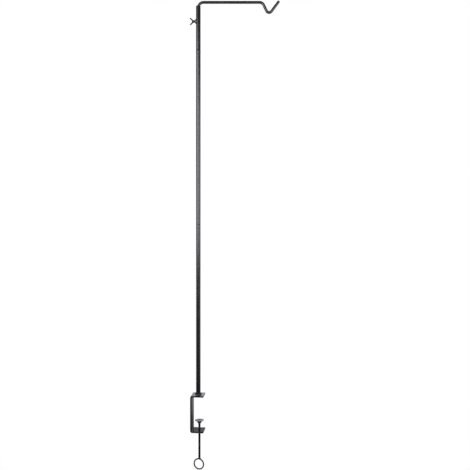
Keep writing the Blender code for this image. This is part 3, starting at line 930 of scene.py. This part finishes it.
class TABLEHOOK_OT_pad(bpy.types.Operator):
    """Turn the flared pad with its recess"""

    bl_idname = "table_hook.pad"
    bl_label = "Pressure pad"

    def execute(self, context):
        sizes = context.scene.table_hook_screw
        low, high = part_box("pressure_pad")
        wide = (high.x - low.x) / 2
        bore = sizes.neck + GAP
        foot_wall, edge, depth = 0.0013, 0.0003, 0.0018
        soft = sizes.rim / 2 - edge / 2
        end_x, end_z = wide - soft, high.z - sizes.rim
        first = Vector((bore + foot_wall, low.z))
        run = Vector((end_x, end_z)) - first
        outline = [(bore, low.z)]
        steps, hollow = 4 * CORNER_STEPS, 0.4
        for i in range(steps + 1):
            along_share = i / steps
            sag = hollow * along_share * (1 - along_share)
            x = first.x + run.x * along_share - run.y * sag
            z = first.y + run.y * along_share + run.x * sag
            outline.append((x, z))
        outline += quarter_arc(end_x, end_z + soft, soft, -QUARTER)[1:]
        outline += quarter_arc(wide - edge, high.z - edge, edge, 0)
        outline += quarter_arc(sizes.recess + edge, high.z - edge, edge, QUARTER)
        outline += [(sizes.recess, high.z - depth), (bore, high.z - depth)]
        data = turned("flared_pad", outline, is_ring=True)
        # The pad's finish has a paler base colour, a painted reflection of the backdrop behind it.
        add_piece(data, "pressure_pad", worn_zinc_plate_with_painted_reflection, (SCREW_X, 0, 0))
        return {"FINISHED"}


class TABLEHOOK_OT_ring(bpy.types.Operator):
    """Bend the wire ring and weld it to the screw's lower end"""

    bl_idname = "table_hook.ring"
    bl_label = "Ring and its weld"

    def execute(self, context):
        sizes = context.scene.table_hook_screw
        low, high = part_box("ring_handle")
        wire = sizes.wire / 2
        line = (high.z - low.z) / 2 - wire
        outline = arc((line, 0), wire, 0, math.tau, WIRE_STEPS)[:-1]
        ring = turned("wire_ring", outline, is_ring=True)
        centre, turn = (low + high) / 2, (QUARTER, 0, sizes.ring_turn)
        add_piece(ring, "ring_handle", black_passivated_zinc_plate, centre, turn)
        self.make_bead(sizes)
        return {"FINISHED"}

    def make_bead(self, sizes):
        """A drop of weld that hugs the screw's end and runs out along the ring below it."""
        low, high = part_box("ring_weld")
        middle = Vector((SCREW_X, 0, (low.z + high.z) / 2))
        half = (high.z - low.z) / 2
        reach = (high.y - low.y) / 2
        neck = sizes.thread + sizes.bead_lip
        lumps = ((0.05, 2), (0.02, 5))
        along_ring = Vector((math.cos(sizes.ring_turn), math.sin(sizes.ring_turn), 0))
        across_ring = Vector((-along_ring.y, along_ring.x, 0))
        shape = bmesh.new()
        bmesh.ops.create_icosphere(shape, subdivisions=5, radius=1)
        for spot in shape.verts:
            swell = 1
            for lump_share, fineness in lumps:
                swell += lump_share * bead_noise(spot.co * fineness, 1)
            x, y, z = spot.co
            spread = (1 - z) / 2
            along = along_ring * x * mix(neck, reach, spread) * swell
            across = across_ring * y * mix(neck, sizes.wire, spread) * swell
            spot.co = middle + along + across + Vector((0, 0, z * half))
        data = mesh_of("ring_bead", shape, BEAD_CREASE)
        add_piece(data, "ring_weld", black_passivated_zinc_plate)


# Cards round the pole: name, radius, first and last bearing, foot and top, glow. Bearing 0 is the
# camera's side and + is to the right. The two soft boxes leave a gap for the camera, a small card
# stands close behind the clamp, and the background stays white between them all.
ROOM_RADIUS = 2.3
BACK_RADIUS = 2.2
BOX_RADIUS = 1.9
NEAR_RADIUS = 0.35
CARD_COLOUR = (*linear_colour("F7F7FF"), 1)
CARDS = (
    ("left_box", BOX_RADIUS, -60, -20, 0.3, 1.75, 6.0),
    ("left_box_edge", BOX_RADIUS, -20, -4, 0.3, 1.5, 6.8),
    ("right_box_edge", BOX_RADIUS, 14, 35, 0.3, 1.35, 6.4),
    ("right_box", BOX_RADIUS, 35, 60, 0.3, 1.3, 4.3),
    ("side_box", BOX_RADIUS, 60, 130, 0.3, 1.15, 2.2),
    ("back_box", BACK_RADIUS, 140, 215, 0.1, 0.62, 0.3),
    ("clamp_card", NEAR_RADIUS, 172, 204, 0.06, 0.2, 1.6),
    ("front_room", ROOM_RADIUS, -95, 60, -1.8, 2.8, 0.25),
    ("side_room", ROOM_RADIUS, 60, 130, -1.8, 0.6, 0.9),
    ("side_room_top", ROOM_RADIUS, 60, 130, 0.6, 2.8, 0.3),
    ("left_room", ROOM_RADIUS, -150, -95, 0.8, 2.8, 0.1),
    ("back_room", ROOM_RADIUS, 130, 210, 0.62, 2.8, 0.15),
    ("low_room", ROOM_RADIUS, 130, 265, -1.8, -0.1, 0.4),
)
LEVEL_CARDS = (("ceiling", 2.8, 0.1), ("table", -0.7, 0.1))
WHITE = (1, 1, 1, 1)
FLOOR_GREY = (0.8, 0.8, 0.8, 1)


class TABLEHOOK_OT_studio(bpy.types.Operator):
    """Set up the white background, floor, lights and camera"""

    bl_idname = "table_hook.studio"
    bl_label = "Studio"

    def execute(self, context):
        settings = context.scene.table_hook_studio
        context.scene.view_settings.view_transform = "Standard"
        self.make_world(context.scene, settings)
        self.make_floor(settings)
        self.make_lights(settings)
        self.make_cards()
        self.make_camera(context.scene, settings)
        return {"FINISHED"}

    def make_world(self, scene, settings):
        """White where it is seen or mirrored, and a softer light everywhere else."""
        scene.world = blank(bpy.data.worlds.new("white_studio"))
        light = self.white_light(scene.world, "Background", settings.ambient, 1)
        add_node(scene.world, "OutputWorld", {"Surface": light})

    def white_light(self, owner, kind, elsewhere, seen):
        """White light of one strength to the camera, gloss and glass, and another elsewhere."""
        path = add_node(owner, "LightPath").outputs
        shows = path["Is Camera Ray"]
        for ray in ("Is Glossy Ray", "Is Transmission Ray"):
            either = add_node(owner, "Math", {0: shows, 1: path[ray]}, operation="MAXIMUM")
            shows = either.outputs["Value"]
        levels = {"Value": shows, "To Min": elsewhere, "To Max": seen}
        strength = add_node(owner, "MapRange", levels).outputs["Result"]
        inputs = {"Color": WHITE, "Strength": strength}
        return add_node(owner, kind, inputs).outputs[kind]

    def make_floor(self, settings):
        """A round pale floor that keeps shadows and fades into the background at its edge."""
        rim = settings.floor_radius
        shape = bmesh.new()
        bmesh.ops.create_circle(shape, cap_ends=True, segments=FLOOR_STEPS, radius=rim)
        floor = link_object(mesh_of("floor", shape), (0, 0, -settings.floor_drop))
        material = blank(bpy.data.materials.new("pale_floor"))
        lift = self.white_light(material, "Emission", 0, settings.floor_lift)
        matt = add_node(material, "BsdfDiffuse", {"Color": FLOOR_GREY})
        ground = add_node(material, "AddShader", {0: lift, 1: matt.outputs["BSDF"]})
        beyond = self.white_light(material, "Emission", settings.ambient, 1)
        place = add_node(material, "TexCoord").outputs["Object"]
        middle = add_node(material, "VectorMath", {0: place}, operation="LENGTH")
        fade = add_node(
            material,
            "MapRange",
            {"Value": middle.outputs["Value"], "From Min": rim / 3, "From Max": rim},
            interpolation_type="SMOOTHSTEP",
        )
        both = add_node(
            material,
            "MixShader",
            {"Fac": fade.outputs["Result"], 1: ground.outputs["Shader"], 2: beyond},
        )
        add_node(material, "OutputMaterial", {"Surface": both.outputs["Shader"]})
        floor.data.materials.append(material)

    def make_lights(self, settings):
        """A wide soft box in front, a little to the left; reflections show the cards instead."""
        bearing = math.radians(-12)
        distance, height, width, tall = 1.9, 0.95, 2.2, 1.2
        lamp = bpy.data.lights.new("key_softbox", "AREA")
        lamp.shape = "RECTANGLE"
        lamp.size, lamp.size_y = width, tall
        lamp.energy = settings.key_glow * math.pi * width * tall
        place = (distance * math.sin(bearing), -distance * math.cos(bearing), height)
        key = link_object(lamp, place, (QUARTER, 0, bearing))
        key.visible_camera = False
        key.visible_glossy = False

    def make_cards(self):
        """Cards that only reflections show: bright soft box fronts and the dim room round them."""
        for name, radius, start, end, low, high, glow in CARDS:
            shape = bmesh.new()
            rows = []
            for i in range(CARD_STEPS + 1):
                bearing = math.radians(mix(start, end, i / CARD_STEPS))
                x, y = radius * math.sin(bearing), -radius * math.cos(bearing)
                rows.append([shape.verts.new((x, y, z)) for z in (low, high)])
            for left, right in zip(rows, rows[1:]):
                shape.faces.new((left[0], right[0], right[1], left[1]))
            self.reflected(link_object(mesh_of(name, shape)), glow)
        for name, height, glow in LEVEL_CARDS:
            shape = bmesh.new()
            bmesh.ops.create_circle(shape, cap_ends=True, segments=DISC_STEPS, radius=ROOM_RADIUS)
            self.reflected(link_object(mesh_of(name, shape), (0, 0, height)), glow)

    def reflected(self, card, glow):
        """Give a card its glow, and let nothing but reflections see it."""
        material = blank(bpy.data.materials.new(card.name))
        light = add_node(material, "Emission", {"Color": CARD_COLOUR, "Strength": glow})
        add_node(material, "OutputMaterial", {"Surface": light.outputs["Emission"]})
        card.data.materials.append(material)
        card.visible_camera = False
        card.visible_diffuse = False
        card.visible_shadow = False

    def make_camera(self, scene, settings):
        """A level camera, set so that a 470 pixel wide square frames the stand as photographed."""
        pole_left_of_middle = 0.09785
        view = bpy.data.cameras.new("camera")
        view.sensor_width, view.lens = 36, 47.39
        camera = link_object(view)
        right = Vector((math.cos(settings.turn), math.sin(settings.turn), 0))
        ahead = Vector((-math.sin(settings.turn), math.cos(settings.turn), 0))
        camera.location = right * pole_left_of_middle - ahead * settings.distance
        camera.location.z = settings.height
        camera.rotation_euler = (QUARTER, 0, settings.turn)
        scene.camera = camera


class TABLEHOOK_PT_sidebar(bpy.types.Panel):
    """Lists the pieces and the sizes and colours that can be changed"""

    bl_idname = "TABLEHOOK_PT_sidebar"
    bl_label = "Table hook"
    bl_space_type = "VIEW_3D"
    bl_region_type = "UI"
    bl_category = "Table hook"

    def draw(self, context):
        for group_name in GROUPS:
            group = getattr(context.scene, group_name)
            box = self.layout.box()
            for value_name in group.__annotations__:
                box.prop(group, value_name)
        for maker in MAKERS:
            self.layout.operator(maker.bl_idname)


GROUPS = {
    "table_hook_clamp": ClampSizes,
    "table_hook_pole": PoleSizes,
    "table_hook_wing": WingSizes,
    "table_hook_rod": RodSizes,
    "table_hook_screw": ScrewSizes,
    "table_hook_finishes": Finishes,
    "table_hook_studio": StudioSettings,
}
MAKERS = (
    TABLEHOOK_OT_clamp_frame,
    TABLEHOOK_OT_foot_bead,
    TABLEHOOK_OT_pole,
    TABLEHOOK_OT_nut,
    TABLEHOOK_OT_wing_screw,
    TABLEHOOK_OT_hook_rod,
    TABLEHOOK_OT_bush,
    TABLEHOOK_OT_clamp_screw,
    TABLEHOOK_OT_pad,
    TABLEHOOK_OT_ring,
    TABLEHOOK_OT_studio,
)


def register():
    """Register the classes and hang the settings on the scene."""
    for name, group in GROUPS.items():
        bpy.utils.register_class(group)
        setattr(bpy.types.Scene, name, PointerProperty(type=group))
    for maker in MAKERS:
        bpy.utils.register_class(maker)
    bpy.utils.register_class(TABLEHOOK_PT_sidebar)


def unregister():
    """Take it all off again."""
    bpy.utils.unregister_class(TABLEHOOK_PT_sidebar)
    for maker in reversed(MAKERS):
        bpy.utils.unregister_class(maker)
    for name, group in reversed(GROUPS.items()):
        delattr(bpy.types.Scene, name)
        bpy.utils.unregister_class(group)


def main():
    """Make every piece and the studio."""
    register()
    for maker in MAKERS:
        group_name, call_name = maker.bl_idname.split(".")
        getattr(getattr(bpy.ops, group_name), call_name)()


if __name__ == "__main__":
    main()
